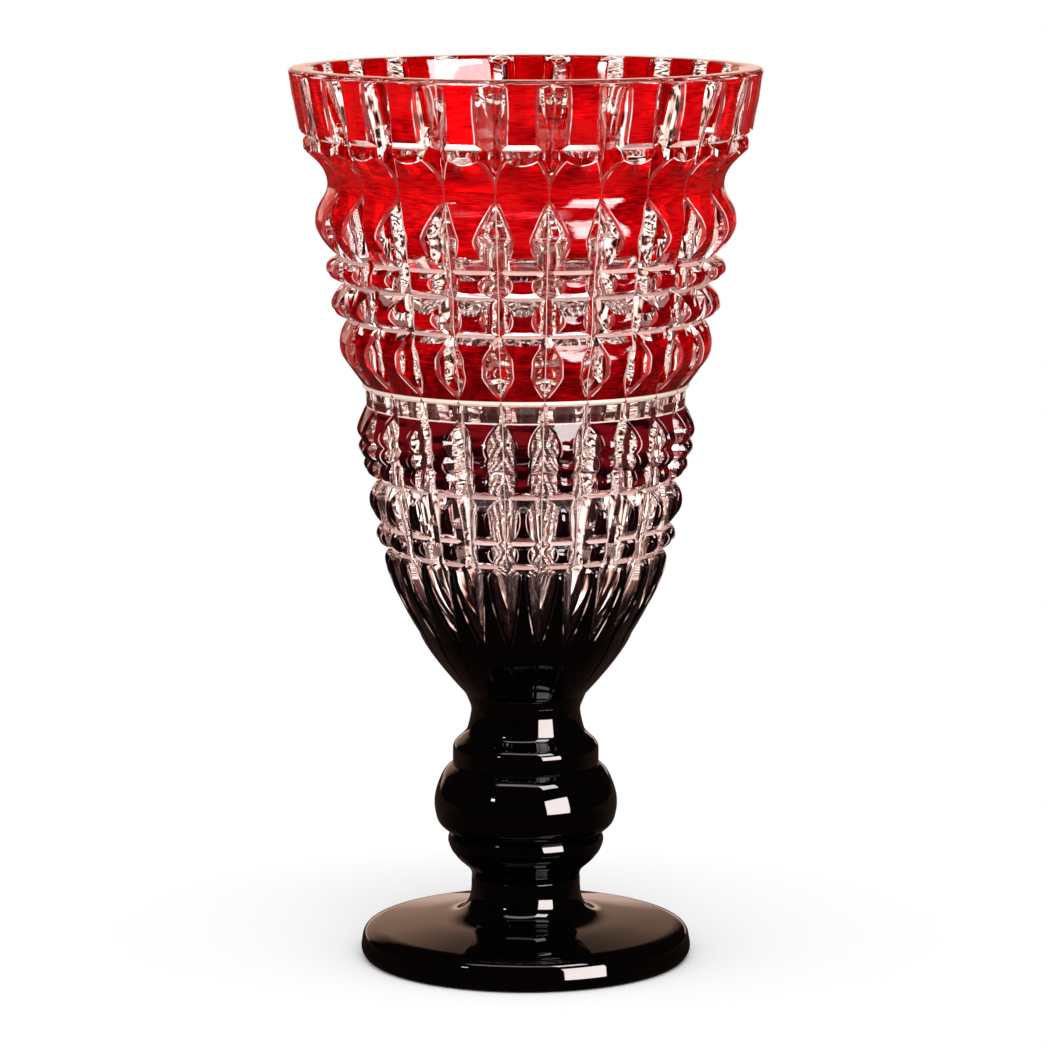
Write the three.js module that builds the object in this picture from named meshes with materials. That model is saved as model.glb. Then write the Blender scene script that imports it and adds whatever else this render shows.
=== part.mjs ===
// Footed cut glass vase: a clear crystal bowl cased in ruby and black glass, on a black stem and foot.
// Millimetres, +Z up, with the origin at the centre of the foot's underside. The front faces -Y.
import * as THREE from 'three';
import { mergeVertices } from 'three/addons/utils/BufferGeometryUtils.js';

// Glass walls and clearances
const casingWall = 1.2;      // coloured skin over the clear core
const webWall = 0.75;        // what a ring cut leaves of the skin
const heelWall = 2;          // black skin under the core
const seatGap = 0.3;         // between the core and its skins, and between two gathers of the stem

// Vertical V-cuts
const cutCount = 24;
const cutFlank = 42;         // degrees from the middle of a cut to either of its faces
const cutTurn = 6.5;         // degrees from the front of the vase to the nearest cut
const islandGap = 0.5;       // least gap between two rim panels, where the cuts run out
const edgeRun = 0.15;        // least half-width of a cut

// Foot
const footRadius = 56.9;
const footWidestHeight = 2.7;
const footBaseRadius = 55.2;
const footEdgeRadius = 55.9;
const footEdgeHeight = 9;
const footTopRadius = 52;
const footTopHeight = 10.9;
const footShoulderRadius = 34;
const footShoulderHeight = 13.2;
const footFilletRadius = 28.4;
const footFilletHeight = 13.7;
const footNeckRadius = 18.7;
const footNeckHeight = 24;
const footWaistRadius = 18.5;
const footHeight = 28;

// Merese: the cup and ring under the knop
const mereseHeight = 15.5;
const mereseCupRadius = 23.2;
const mereseCupHeight = 6;
const mereseShoulderRadius = 25.6;
const mereseShoulderHeight = 9;
const mereseRingRadius = 26.8;
const mereseRingHeight = 12.4;
const mereseTopRadius = 25.9;

// Knop
const knopHeight = 23.5;
const knopRadius = 31.4;
const knopWidestHeight = 10.6;
const knopBottomRadius = 26.1;
const knopTopRadius = 25.5;

// Collar and neck under the bowl
const collarHeight = 21.8;
const collarRadius = 25;
const collarWallHeight = 5.4;
const collarShoulderRadius = 23.6;
const collarShoulderHeight = 8.6;
const neckFootHeight = 11.4;
const neckFootRadius = 20.3;
const neckRadius = 18.5;
const neckHeight = 19.6;
const neckMiddleRadius = 19.1;
const neckMiddleHeight = 15.2;
const neckTopRadius = 19.3;

// Rim and hollow of the bowl, from the rim down
const rimWall = 8;
const rimRound = 1.3;
const hollowShoulderRadius = 61.4;
const hollowShoulderDepth = 42;
const hollowMiddleRadius = 49;
const hollowMiddleDepth = 108;
const hollowLowRadius = 37;
const hollowLowDepth = 168;
const hollowKneeRadius = 19;
const hollowKneeDepth = 194;
const hollowDepth = 199;

// How the bowl's outline goes from one turn to the next, for u from 0 to 1
const straight = (u) => u;
const leaving = (power) => (u) => u ** power;
const reaching = (power) => (u) => 1 - (1 - u) ** power;

// Turns of the bowl's outline, from the stem up. rise: height over the turn before. cut: half-width of the
// V-cuts at the surface. shape, cutShape: the outline and the cuts under the turn, in so many facets, and in one
// facet of the core unless it is hollow. wall: what is left of the skin.
const turns = {
  base: { rise: 0, radius: 19.4, cut: 0, shape: straight, facets: 1 },
  heel: { rise: 3, radius: 20.7, cut: 0, shape: straight, facets: 1 },
  fingerTip: { rise: 21.2, radius: 36.3, cut: 0.7, shape: reaching(1.25), facets: 2 },
  fingerShoulder: { rise: 25.8, radius: 48, cut: 5.6, shape: reaching(1.4), facets: 2 },
  ringCutA: { rise: 3.4, radius: 45.3, cut: 2.4, shape: leaving(2), facets: 1, wall: webWall },
  tierB: { rise: 5.2, radius: 50.9, cut: 5, shape: reaching(2), facets: 1 },
  ringCutB: { rise: 3.2, radius: 48.4, cut: 2.4, shape: leaving(2), facets: 1, wall: webWall },
  tierC: { rise: 8.6, radius: 53.2, cut: 6, shape: reaching(2), facets: 2 },
  ringCutC: { rise: 6.7, radius: 49, cut: 2.2, shape: leaving(2), facets: 1, wall: webWall },
  scallopLow: { rise: 5.2, radius: 55, cut: 5.4, shape: reaching(2), facets: 1 },
  dipLow: { rise: 2.6, radius: 54.5, cut: 5.1, shape: straight, facets: 1 },
  scallopMiddle: { rise: 3.6, radius: 56.8, cut: 5.5, shape: reaching(1.5), facets: 1 },
  dipHigh: { rise: 2.4, radius: 55.8, cut: 5, shape: straight, facets: 1 },
  scallopHigh: { rise: 3.4, radius: 57.3, cut: 5.6, shape: reaching(1.5), facets: 1 },
  bandBottom: { rise: 8, radius: 54, cut: 1.4, shape: leaving(1.3), cutShape: leaving(1.1), facets: 2 },
  bandTop: { rise: 5.6, radius: 54.2, cut: 1, shape: straight, facets: 1 },
  ridge: { rise: 1, radius: 55.4, cut: 0.5, shape: reaching(2), facets: 1 },
  ridgeTop: { rise: 0.9, radius: 55.2, cut: 0, shape: leaving(2), facets: 1 },
  lens: { rise: 8.9, radius: 61.9, cut: 5.2, shape: straight, cutShape: reaching(1.3), facets: 2 },
  tierE: { rise: 5, radius: 63, cut: 5, shape: reaching(2), facets: 1 },
  lensTop: { rise: 4.5, radius: 62.3, cut: 2.6, shape: leaving(1.5), facets: 1 },
  ringCutE: { rise: 3.6, radius: 59.6, cut: 1.4, shape: leaving(1.5), facets: 1, wall: webWall },
  tierF: { rise: 5.6, radius: 65.7, cut: 5.5, shape: reaching(2), facets: 1 },
  ringCutF: { rise: 6.8, radius: 60.8, cut: 1.5, shape: leaving(1.6), facets: 1, wall: webWall },
  tierG: { rise: 5.2, radius: 67.5, cut: 5.6, shape: reaching(2.2), facets: 1 },
  ringCutG: { rise: 3.6, radius: 63, cut: 1.6, shape: leaving(2.2), facets: 1, wall: webWall },
  tierH: { rise: 10.8, radius: 71, cut: 6.8, shape: reaching(1.7), cutShape: reaching(1.6), facets: 2 },
  waist: { rise: 13.2, radius: 66.8, cut: 0.3, shape: leaving(1.8), cutShape: leaving(1.2), facets: 3, coreFacets: 3 },
  beadBottom: { rise: 13.2, radius: 74.8, cut: 4.8, shape: leaving(2), cutShape: leaving(2.4), facets: 3, coreFacets: 3 },
  beadTop: { rise: 2.3, radius: 74.9, cut: 4.6, shape: straight, facets: 1 },
  ringCutH: { rise: 1.1, radius: 73.6, cut: 3.3, shape: straight, facets: 1 },
  panelBottom: { rise: 1.7, radius: 76.2, cut: 5.3, shape: straight, facets: 1 },
  panelWidest: { rise: 11.6, radius: 78.5, cut: 5.9, shape: straight, facets: 1 },
  panelTop: { rise: 6.7, radius: 79.5, cut: 5.6, shape: straight, facets: 1 },
  lip: { rise: 1.1, radius: 79.7, cut: 0, shape: leaving(3), facets: 1 },
  rim: { rise: 1.5, radius: 79.9, cut: 0, shape: straight, facets: 1 },
};

// How far the skins stop short of the cuts and bands that bare the crystal
const skinFromRingCut = 1.5;
const skinFromBand = 0.3;

// Worked out from the sizes above
const pitch = 2 * Math.PI / cutCount;
const firstCut = -Math.PI / 2 + THREE.MathUtils.degToRad(cutTurn);
const flank = Math.tan(THREE.MathUtils.degToRad(cutFlank));
const mereseBottom = footHeight;
const knopBottom = mereseBottom + mereseHeight;
const collarBottom = knopBottom + knopHeight;
const bowlBottom = collarBottom + collarHeight;

// Every turn of the outline gets its height
const outline = Object.values(turns);
let reached = bowlBottom;
for (const turn of outline) {
  reached += turn.rise;
  turn.z = reached;
}
const rimHeight = reached;

// The cut outline at one height: its radius, the cuts' half-width and depth, and what is left of the skin
function outlineAt(z) {
  const next = Math.max(1, outline.findIndex((turn) => turn.z >= z));
  const below = outline[next - 1];
  const above = outline[next];
  const part = (z - below.z) / (above.z - below.z);
  const between = (low, high, shape) => low + (high - low) * shape(part);
  const radius = between(below.radius, above.radius, above.shape);
  const cut = between(below.cut, above.cut, above.cutShape ?? above.shape);
  const wall = between(below.wall ?? casingWall, above.wall ?? casingWall, above.shape);
  return { z, radius, cut, wall, depth: cut / flank };
}

// The turns and facets between two heights, and the heights themselves
function heightsBetween(low, high, facetsOf) {
  const heights = [low];
  for (let i = 1; i < outline.length; i++) {
    const below = outline[i - 1].z;
    const facets = facetsOf(outline[i]);
    const step = (outline[i].z - below) / facets;
    for (let k = 1; k <= facets; k++) {
      const z = below + k * step;
      if (z > low + edgeRun && z < high - edgeRun) heights.push(z);
    }
  }
  heights.push(high);
  return heights;
}

// Where a cut goes just through the skin between two heights, by halving
function windowTip(low, high) {
  const through = (z) => outlineAt(z).depth > outlineAt(z).wall;
  let [closed, open] = through(low) ? [high, low] : [low, high];
  for (let i = 0; i < 30; i++) {
    const middle = (closed + open) / 2;
    if (through(middle)) open = middle;
    else closed = middle;
  }
  return open;
}

function ringPoint(radius, angle, z) {
  return new THREE.Vector3(radius * Math.cos(angle), radius * Math.sin(angle), z);
}

// A closed body gathered face by face. Faces that shrink to a line are left out.
class Body {
  constructor() {
    this.corners = [];
  }

  triangle(a, b, c) {
    const tiny = 1e-3;
    if (a.distanceTo(b) < tiny || b.distanceTo(c) < tiny || c.distanceTo(a) < tiny) return;
    this.corners.push(a, b, c);
  }

  quad(a, b, c, d) {
    this.triangle(a, b, c);
    this.triangle(a, c, d);
  }

  geometry() {
    const loose = new THREE.BufferGeometry().setFromPoints(this.corners);
    const geometry = mergeVertices(loose, 1e-4);
    geometry.computeVertexNormals();
    return geometry;
  }
}

function forEachSector(make) {
  for (let k = 0; k < cutCount; k++) make(firstCut + k * pitch, k);
}

// One height of a skin: its radii, and the angles from the middle of a cut to the skin's edges
function skinRow(z, islands) {
  const at = outlineAt(z);
  const innerRadius = at.radius - at.wall;
  const throughBy = (at.depth - at.wall) * flank;
  const least = islands ? islandGap / 2 : 0;
  const open = islands || throughBy > 1e-6;
  const outerRun = at.cut > 0 ? Math.max(at.cut, edgeRun, least) / at.radius : pitch / 3;
  const innerRun = open ? Math.max(throughBy, least) / innerRadius : outerRun;
  return { z, open, radius: at.radius, innerRadius, grooveRadius: at.radius - at.depth, outerRun, innerRun };
}

// The height where a window starts has the groove, the inside and both edges in one point
function tipRow(z) {
  const row = skinRow(z, false);
  return { ...row, open: false, tip: true, grooveRadius: row.innerRadius, innerRun: 0 };
}

// All heights of a skin from low to high, with the tips of its windows
function skinRows(low, high, islands) {
  const rows = [];
  for (const z of heightsBetween(low, high, (turn) => turn.facets)) {
    const row = skinRow(z, islands);
    const last = rows.at(-1);
    if (last && last.open !== row.open) rows.push(tipRow(windowTip(last.z, z)));
    rows.push(row);
  }
  return rows;
}

// Corners of one sector of a skin, from one cut to the next
function skinCorners(row, start) {
  const end = start + pitch;
  return {
    outerGroove: ringPoint(row.grooveRadius, start, row.z),
    outerFirst: ringPoint(row.radius, start + row.outerRun, row.z),
    outerLast: ringPoint(row.radius, end - row.outerRun, row.z),
    outerNext: ringPoint(row.grooveRadius, end, row.z),
    innerGroove: ringPoint(row.innerRadius, start, row.z),
    innerFirst: ringPoint(row.innerRadius, start + row.innerRun, row.z),
    innerLast: ringPoint(row.innerRadius, end - row.innerRun, row.z),
    innerNext: ringPoint(row.innerRadius, end, row.z),
  };
}

// Faces of a skin between two heights: a finger with two cut edges, or a stretch of the closed ring
function addSkinOutside(body, a, b, open) {
  body.quad(a.outerFirst, a.outerLast, b.outerLast, b.outerFirst);
  if (open) return;
  body.quad(a.outerGroove, a.outerFirst, b.outerFirst, b.outerGroove);
  body.quad(a.outerLast, a.outerNext, b.outerNext, b.outerLast);
}

function addSkinInside(body, a, b, open) {
  body.quad(a.innerLast, a.innerFirst, b.innerFirst, b.innerLast);
  if (open) {
    body.quad(a.innerFirst, a.outerFirst, b.outerFirst, b.innerFirst);
    body.quad(a.outerLast, a.innerLast, b.innerLast, b.outerLast);
  } else {
    body.quad(a.innerFirst, a.innerGroove, b.innerGroove, b.innerFirst);
    body.quad(a.innerNext, a.innerLast, b.innerLast, b.innerNext);
  }
}

// The end of a skin, seen from above when it is the top end
function addSkinEnd(body, at, open, top) {
  const face = (a, b, c, d) => (top ? body.quad(a, b, c, d) : body.quad(d, c, b, a));
  face(at.outerFirst, at.outerLast, at.innerLast, at.innerFirst);
  if (open) return;
  face(at.outerGroove, at.outerFirst, at.innerFirst, at.innerGroove);
  face(at.outerLast, at.outerNext, at.innerNext, at.innerLast);
}

function addFan(body, z, corners, up) {
  const centre = new THREE.Vector3(0, 0, z);
  for (let i = 0; i + 1 < corners.length; i++) {
    if (up) body.triangle(centre, corners[i], corners[i + 1]);
    else body.triangle(centre, corners[i + 1], corners[i]);
  }
}

// A coloured skin that stays joined somewhere on its way round
function casing(low, high) {
  const rows = skinRows(low, high, false);
  const body = new Body();
  forEachSector((start) => {
    const corners = rows.map((row) => skinCorners(row, start));
    for (let i = 0; i + 1 < rows.length; i++) {
      const open = rows[i].open || rows[i + 1].open;
      addSkinOutside(body, corners[i], corners[i + 1], open);
      addSkinInside(body, corners[i], corners[i + 1], open);
    }
    addSkinEnd(body, corners[0], rows[0].open, false);
    addSkinEnd(body, corners.at(-1), rows.at(-1).open, true);
  });
  return body.geometry();
}

// The black skin is a cup: it closes under the core
function cupCasing(low, floor, high) {
  const rows = [skinRow(low, false), ...skinRows(floor, high, false)];
  const body = new Body();
  forEachSector((start) => {
    const corners = rows.map((row) => skinCorners(row, start));
    const base = corners[0];
    const inside = corners[1];
    for (let i = 0; i + 1 < rows.length; i++) {
      const open = rows[i].open || rows[i + 1].open;
      addSkinOutside(body, corners[i], corners[i + 1], open);
      if (i > 0) addSkinInside(body, corners[i], corners[i + 1], open);
    }
    addFan(body, low, [base.outerGroove, base.outerFirst, base.outerLast, base.outerNext], false);
    addFan(body, floor, [inside.innerGroove, inside.innerFirst, inside.innerLast, inside.innerNext], true);
    addSkinEnd(body, corners.at(-1), rows.at(-1).open, true);
  });
  return body.geometry();
}

// One panel of the rim band, an island between two cuts
function rimPanel(low, high, start) {
  const rows = skinRows(low, high, true);
  const corners = rows.map((row) => skinCorners(row, start));
  const body = new Body();
  for (let i = 0; i + 1 < rows.length; i++) {
    addSkinOutside(body, corners[i], corners[i + 1], true);
    addSkinInside(body, corners[i], corners[i + 1], true);
  }
  addSkinEnd(body, corners[0], true, false);
  addSkinEnd(body, corners.at(-1), true, true);
  return body.geometry();
}

// One height of the core where it is bare, under a skin, or plain round glass
function bareRow(z) {
  const at = outlineAt(z);
  const run = at.cut > 0 ? Math.max(at.cut, edgeRun) / at.radius : pitch / 3;
  return { z, radius: at.radius, grooveRadius: at.radius - at.depth, run };
}

function seatedRow(z) {
  const at = outlineAt(z);
  const radius = at.radius - at.wall - seatGap;
  const grooveRadius = Math.min(radius, at.radius - at.depth);
  const run = Math.max((radius - grooveRadius) * flank, edgeRun / 2) / radius;
  return { z, radius, grooveRadius, run };
}

function plainRow(z, radius) {
  return { z, radius, grooveRadius: radius, run: pitch / 3 };
}

// Rows of the core behind one skin, and bare rows just past its ends
function coreHeights(low, high) {
  return heightsBetween(low, high, (turn) => turn.coreFacets ?? 1);
}

function seatRows(low, high) {
  return coreHeights(low, high).map(seatedRow);
}

function bareRows(low, high) {
  return coreHeights(low, high).map(bareRow);
}

// The hollow is one smooth curve from the rim down to the floor
function hollowRows() {
  const rimInside = outline.at(-1).radius - rimWall;
  const curve = new THREE.SplineCurve([
    new THREE.Vector2(rimInside, rimHeight - rimRound),
    new THREE.Vector2(hollowShoulderRadius, rimHeight - hollowShoulderDepth),
    new THREE.Vector2(hollowMiddleRadius, rimHeight - hollowMiddleDepth),
    new THREE.Vector2(hollowLowRadius, rimHeight - hollowLowDepth),
    new THREE.Vector2(hollowKneeRadius, rimHeight - hollowKneeDepth),
    new THREE.Vector2(0, rimHeight - hollowDepth),
  ]);
  return curve.getPoints(6).map((point) => plainRow(point.y, point.x));
}

function rimRows() {
  const outside = outline.at(-1).radius;
  const inside = outside - rimWall;
  const bevel = rimRound * (1 - Math.SQRT1_2);
  return [
    plainRow(rimHeight - rimRound, outside),
    plainRow(rimHeight - bevel, outside - bevel),
    plainRow(rimHeight, outside - rimRound),
    plainRow(rimHeight, inside + rimRound),
    plainRow(rimHeight - bevel, inside + bevel),
  ];
}

// Where each skin lies
const blackFloor = bowlBottom + heelWall;
const blackTop = turns.bandBottom.z - skinFromBand;
const lowerBottom = turns.ridgeTop.z + skinFromBand;
const lowerTop = turns.ringCutG.z - skinFromRingCut;
const waistBottom = turns.ringCutG.z + skinFromRingCut;
const waistTop = turns.beadBottom.z - skinFromBand;
const panelBottom = turns.panelBottom.z + skinFromBand;
const panelTop = turns.lip.z - skinFromBand;

// The clear core, from the middle of its base, up the outside and down the inside to the middle of its floor
function crystalBowl() {
  const base = blackFloor + seatGap;
  const rows = [
    plainRow(base, 0),
    ...seatRows(base, blackTop),
    ...bareRows(turns.bandBottom.z, turns.ridgeTop.z),
    ...seatRows(lowerBottom, lowerTop),
    bareRow(turns.ringCutG.z),
    ...seatRows(waistBottom, waistTop),
    ...bareRows(turns.beadBottom.z, turns.panelBottom.z),
    ...seatRows(panelBottom, panelTop),
    bareRow(turns.lip.z),
    ...rimRows(),
    ...hollowRows(),
  ];
  const body = new Body();
  forEachSector((start) => {
    const corners = rows.map((row) => [
      ringPoint(row.grooveRadius, start, row.z),
      ringPoint(row.radius, start + row.run, row.z),
      ringPoint(row.radius, start + pitch - row.run, row.z),
      ringPoint(row.grooveRadius, start + pitch, row.z),
    ]);
    for (let i = 0; i + 1 < rows.length; i++) {
      for (let c = 0; c < 3; c++) {
        body.quad(corners[i][c], corners[i][c + 1], corners[i + 1][c + 1], corners[i + 1][c]);
      }
    }
  });
  return body.geometry();
}

// A turned solid of the stem, from an outline that starts and ends on the axis
function turned(path, segments) {
  const geometry = new THREE.LatheGeometry(path.getPoints(3), segments);
  geometry.rotateX(Math.PI / 2);
  return geometry;
}

function foot() {
  const path = new THREE.Path();
  path.moveTo(0, 0);
  path.lineTo(footBaseRadius, 0);
  path.lineTo(footRadius, footWidestHeight);
  path.lineTo(footEdgeRadius, footEdgeHeight);
  path.lineTo(footTopRadius, footTopHeight);
  path.lineTo(footShoulderRadius, footShoulderHeight);
  path.lineTo(footFilletRadius, footFilletHeight);
  path.quadraticCurveTo(footNeckRadius, footFilletHeight + 1, footNeckRadius, footNeckHeight);
  path.lineTo(footWaistRadius, footHeight - seatGap / 2);
  path.lineTo(0, footHeight - seatGap / 2);
  return turned(path, 48);
}

function merese() {
  const bottom = mereseBottom + seatGap / 2;
  const top = knopBottom - seatGap / 2;
  const path = new THREE.Path();
  path.moveTo(0, bottom);
  path.lineTo(footWaistRadius, bottom);
  path.quadraticCurveTo(footWaistRadius + 0.5, bottom + 2.4, mereseCupRadius, mereseBottom + mereseCupHeight);
  path.lineTo(mereseShoulderRadius, mereseBottom + mereseShoulderHeight);
  path.lineTo(mereseRingRadius, mereseBottom + mereseRingHeight);
  path.lineTo(mereseTopRadius, top);
  path.lineTo(0, top);
  return turned(path, 36);
}

function knop() {
  const bottom = knopBottom + seatGap / 2;
  const top = collarBottom - seatGap / 2;
  const widest = knopBottom + knopWidestHeight;
  const path = new THREE.Path();
  path.moveTo(0, bottom);
  path.lineTo(knopBottomRadius, bottom);
  path.quadraticCurveTo(knopRadius, (bottom + widest) / 2, knopRadius, widest);
  path.quadraticCurveTo(knopRadius, (top + widest) / 2, knopTopRadius, top);
  path.lineTo(0, top);
  return turned(path, 36);
}

function stemCollar() {
  const bottom = collarBottom + seatGap / 2;
  const top = bowlBottom - seatGap / 2;
  const path = new THREE.Path();
  path.moveTo(0, bottom);
  path.lineTo(collarRadius, bottom);
  path.lineTo(collarRadius, collarBottom + collarWallHeight);
  path.lineTo(collarShoulderRadius, collarBottom + collarShoulderHeight);
  path.lineTo(neckFootRadius, collarBottom + neckFootHeight);
  path.lineTo(neckMiddleRadius, collarBottom + neckMiddleHeight);
  path.lineTo(neckRadius, collarBottom + neckHeight);
  path.lineTo(neckTopRadius, top);
  path.lineTo(0, top);
  return turned(path, 36);
}

function crystalGlass() {
  return new THREE.MeshStandardMaterial({ color: 0xf3ece6, roughness: 0.03, transparent: true, opacity: 0.4 });
}

function rubyGlass() {
  return new THREE.MeshStandardMaterial({ color: 0xd2000f, roughness: 0.05 });
}

function blackGlass() {
  return new THREE.MeshStandardMaterial({ color: 0x080506, roughness: 0.05 });
}

function piece(name, geometry, material) {
  const mesh = new THREE.Mesh(geometry, material);
  mesh.name = name;
  return mesh;
}

const vase = new THREE.Group();
vase.add(piece('foot', foot(), blackGlass()));
vase.add(piece('merese', merese(), blackGlass()));
vase.add(piece('knop', knop(), blackGlass()));
vase.add(piece('stem_collar', stemCollar(), blackGlass()));
vase.add(piece('black_casing', cupCasing(bowlBottom + seatGap / 2, blackFloor, blackTop), blackGlass()));
vase.add(piece('crystal_bowl', crystalBowl(), crystalGlass()));
vase.add(piece('ruby_lower_casing', casing(lowerBottom, lowerTop), rubyGlass()));
vase.add(piece('ruby_waist_casing', casing(waistBottom, waistTop), rubyGlass()));
forEachSector((start, k) => {
  const name = `rim_panel_${String(k + 1).padStart(2, '0')}`;
  vase.add(piece(name, rimPanel(panelBottom, panelTop, start), rubyGlass()));
});

export default vase;
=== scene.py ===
"""Footed cut glass vase: a clear crystal bowl cased in ruby and black glass, on a black stem and foot.

The bowl is one turned outline with 24 vertical V-cuts. A coloured skin lies on it wherever the outline is outside
the skin's inner surface, so ring cuts and V-cuts go through it and bare the crystal.
"""

import math

import bpy
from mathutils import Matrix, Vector


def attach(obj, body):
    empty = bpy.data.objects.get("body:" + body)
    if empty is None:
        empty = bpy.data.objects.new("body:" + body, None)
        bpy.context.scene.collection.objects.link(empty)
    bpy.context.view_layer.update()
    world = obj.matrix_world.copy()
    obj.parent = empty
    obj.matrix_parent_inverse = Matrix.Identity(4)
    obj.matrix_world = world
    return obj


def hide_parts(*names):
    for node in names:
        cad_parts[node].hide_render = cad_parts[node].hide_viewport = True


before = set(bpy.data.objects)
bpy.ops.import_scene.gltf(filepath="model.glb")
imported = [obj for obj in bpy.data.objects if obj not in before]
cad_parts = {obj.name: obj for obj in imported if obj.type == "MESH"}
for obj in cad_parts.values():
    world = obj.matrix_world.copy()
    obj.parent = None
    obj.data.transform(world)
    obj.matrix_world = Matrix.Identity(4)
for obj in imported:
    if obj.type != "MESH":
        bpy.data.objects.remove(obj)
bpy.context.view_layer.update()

MM = 0.001               # the vase's shapes are in millimetres here and in metres in the scene

# Glass walls, as on the CAD model
SKIN_WALL = 1.2
HEEL_WALL = 2.0
SEAM_GAP = 0.03          # between the crystal and the skin fused to it
SKIN_FADE = 0.8          # height over which a skin thins out at its ends

# Vertical V-cuts
CUT_COUNT = 24
PANEL_GAP = 0.5          # least gap between two rim panels, where the cuts run out
CUT_FLANK = math.tan(math.radians(42))
CUT_TURN = math.radians(6.5)
GROOVE_FLAT = 0.14       # half the width of a cut's blunt bottom
RING_FLAT = 0.6          # half the height of a ring cut's blunt bottom
EDGE_BEVEL = 0.2          # how far the bevel that carries the painted highlight lines along the cuts goes into a skin's face and down a cut's flank
PITCH = math.tau / CUT_COUNT
FIRST_CUT = -math.pi / 2 + CUT_TURN

# How finely the shapes are made
ROW_STEP = 1.0
PANEL_COLUMNS = 6
LATHE_STEPS = 144
ROUND_STEPS = 8
RIM_STEPS = 4
HOLLOW_STEPS = 10
SHARP_ANGLE = math.radians(26)
CORNERS_PER_MM = 500     # corners that round to the same place on this grid are one
TINY = 1e-6              # less than this counts as nothing
HALVINGS = 26            # how often the search for the end of a skin or a window halves its span
ROW_GAP = 0.05           # a plain row closer than this to such an end is left out

# The most that a bevel takes of a skin's thickness and of a cut's depth, and a margin of a column's width
BEVEL_OF_SKIN = 0.4
BEVEL_OF_CUT = 0.3
MARGIN_OF_COLUMN = 0.4

RIDGE_HIGHLIGHT_BELOW = 0.75       # how far the painted highlight line goes down from the ridge over the clear band
FINE_LINE = 0.22         # half the height of the painted highlight lines at the foot of the clear band and the rim panels

# Where the bowl starts and ends
STEM_TOP = 88.8
HEEL_FLOOR = STEM_TOP + HEEL_WALL
VASE_HEIGHT = 305.0

# Rim, and the hollow as (radius, depth below the rim)
RIM_WALL = 8.0
RIM_ROUND = 1.3
HOLLOW = [(71.9, 1.3), (61.4, 42), (49, 108), (37, 168), (19, 194), (0, 199)]

CRYSTAL_IOR = 1.54

# Material slots of a skin and of the crystal. The bevels of a skin along open cuts are painted pale as highlights, and
# so are the crystal's line over the clear band and the bottoms of its cuts.
OUTSIDE, SEAM, CUT_EDGE, EDGE_HIGHLIGHT = range(4)
BARE, COVERED, RIDGE_HIGHLIGHT, CUT_BOTTOM = range(4)


def straight(u):
    return u


def wave(u):
    return (1 - math.cos(math.pi * u)) / 2


def late_wave(u):
    return wave(u ** 1.4)


def leaving(power):
    return lambda u: u ** power


def reaching(power):
    return lambda u: 1 - (1 - u) ** power


class Turn:
    """A turn of the bowl's outline: its rise over the turn before, its radius, the half-width of the V-cuts there,
    the shapes of the outline and of the cuts under it, whether a ring is cut into the blank there, and how far its
    line hangs down midway between two V-cuts."""

    def __init__(self, rise, radius, cut, shape=straight, cut_shape=None, ring=False, sag=0.0):
        self.rise = rise
        self.radius = radius
        self.cut = cut
        self.shape = shape
        self.cut_shape = cut_shape or shape
        self.ring = ring
        self.sag = sag
        self.z = 0.0


TURNS = {
    "base": Turn(0, 19.4, 0),
    "heel": Turn(3, 20.7, 0),
    "finger_tip": Turn(21.2, 36.3, 0.7, reaching(1.25)),
    "finger_shoulder": Turn(25.8, 48, 5.6, reaching(1.4), sag=0.8),
    "ring_cut_a": Turn(3.4, 45.3, 2.2, leaving(2), ring=True),
    "tier_b": Turn(5.2, 50.9, 5, reaching(2), sag=0.9),
    "ring_cut_b": Turn(3.2, 48.4, 2.2, leaving(2), ring=True),
    "tier_c": Turn(8.6, 53.2, 6, reaching(2), sag=1),
    "ring_cut_c": Turn(6.7, 49, 1.8, leaving(2), ring=True),
    "scallop_low": Turn(5.2, 55, 5.4, reaching(2), sag=0.6),
    "dip_low": Turn(2.6, 54.1, 5.1, leaving(1.6), sag=0.6),
    "scallop_middle": Turn(3.6, 56.8, 5.5, reaching(2), sag=0.6),
    "dip_high": Turn(2.4, 55.4, 5, leaving(1.6), sag=0.6),
    "scallop_high": Turn(3.4, 57.3, 5.6, reaching(2), sag=0.6),
    "band_bottom": Turn(8, 54, 1.4, leaving(1.3), leaving(2)),
    "band_top": Turn(5.6, 54.2, 1),
    "ridge": Turn(1, 55.4, 0.5, reaching(2)),
    "ridge_top": Turn(0.9, 55.2, 0, leaving(2)),
    "lens": Turn(8.9, 61.9, 5.2, straight, reaching(1.3)),
    "tier_e": Turn(5, 63, 5, reaching(2)),
    "lens_top": Turn(4.5, 62.3, 2.6, leaving(1.5), sag=1.2),
    "ring_cut_e": Turn(3.6, 59.6, 1, leaving(1.5), ring=True),
    "tier_f": Turn(5.6, 65.7, 5.5, reaching(2), sag=1.3),
    "ring_cut_f": Turn(6.8, 60.8, 1.2, leaving(1.6), ring=True),
    "tier_g": Turn(5.2, 67.5, 5.6, reaching(2.2), sag=0.9),
    "ring_cut_g": Turn(3.6, 63, 1.4, leaving(2.2), ring=True),
    "tier_h": Turn(10.8, 71, 6.8, reaching(1.7), reaching(1.6)),
    "waist": Turn(13.2, 66.8, 0.3, late_wave, leaving(1.2)),
    "bead_bottom": Turn(13.2, 74.8, 4.8, leaving(2), leaving(2.4), sag=1.5),
    "bead_top": Turn(2.3, 74.9, 4.6, sag=1.5),
    "ring_cut_h": Turn(1.1, 73.6, 3.3),
    "panel_bottom": Turn(1.7, 76.2, 5.3),
    "panel_widest": Turn(11.6, 78.5, 5.9, straight, wave),
    "panel_top": Turn(6.9, 79.5, 5.6, straight, leaving(2)),
    "lip": Turn(1.1, 79.7, 0, straight, leaving(3)),
    "rim": Turn(1.3, 79.9, 0),
}

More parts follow.
